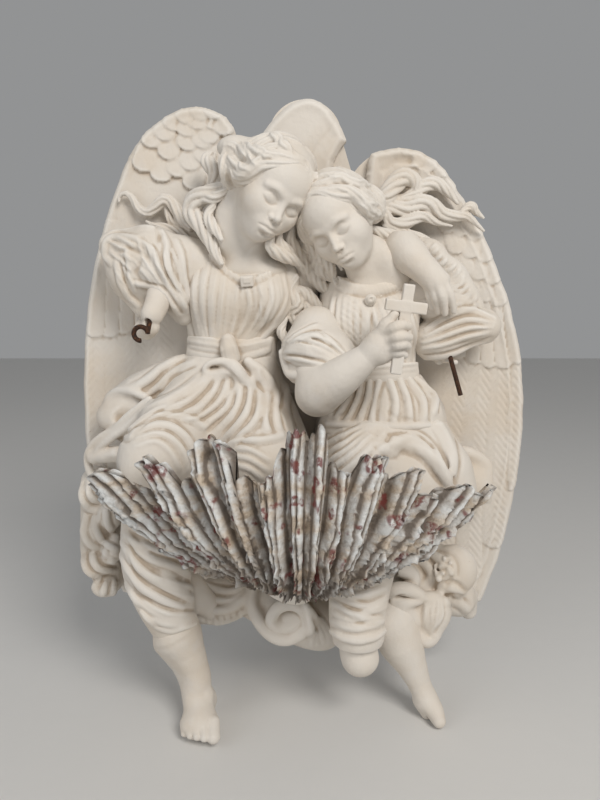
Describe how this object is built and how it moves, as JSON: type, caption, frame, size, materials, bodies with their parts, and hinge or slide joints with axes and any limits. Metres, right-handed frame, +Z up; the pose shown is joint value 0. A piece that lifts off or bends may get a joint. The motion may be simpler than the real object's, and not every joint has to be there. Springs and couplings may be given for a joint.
{
  "type": "holy water stoup",
  "caption": "Wall-hung holy water stoup: seated plaster angels against a winged backing, holding a plain cross above a natural fluted clam valve that is the basin.",
  "frame": {"origin": "the point under the middle of the hanging wire where the wall hook bears, on the plane of the wall", "axes": "+X to the viewer's right, +Y into the wall, +Z up; the figures face -Y"},
  "size_m": [0.2975, 0.1588, 0.3905],
  "materials": {
    "plaster": "matt, dry unglazed plaster with grime in the hollows",
    "clam_shell": "matt natural shell, chalky crests and darker grooves",
    "iron_wire": "rusted iron wire"
  },
  "bodies": {
    "root": {"back_plaque": "plaster", "centre_drape": "plaster", "centre_lock": "plaster", "cross": "plaster", "far_hand": "plaster", "hanging_wire": "iron_wire", "left_arm_stump": "plaster", "left_arm_wire": "iron_wire", "left_brooch": "plaster", "left_calf": "plaster", "left_drape": "plaster", "left_foot": "plaster", "left_hair": "plaster", "left_head": "plaster", "left_leg_rod": "iron_wire", "left_sash": "plaster", "left_side_lock": "plaster", "left_skirt": "plaster", "left_sleeve": "plaster", "left_torso": "plaster", "left_tress": "plaster", "left_wing": "plaster", "middle_wing": "plaster", "right_arm_wire": "iron_wire", "right_belt": "plaster", "right_button": "plaster", "right_drape": "plaster", "right_far_sleeve": "plaster", "right_foot": "plaster", "right_forearm": "plaster", "right_hair": "plaster", "right_head": "plaster", "right_knee_drape": "plaster", "right_knee_stump": "plaster", "right_lap": "plaster", "right_leg_rod": "iron_wire", "right_nape_lock": "plaster", "right_near_sleeve": "plaster", "right_torso": "plaster", "right_tress": "plaster", "right_tunic": "plaster", "right_wing": "plaster", "shell_basin": "clam_shell", "shell_bedding": "plaster"}
  },
  "joints": []
}
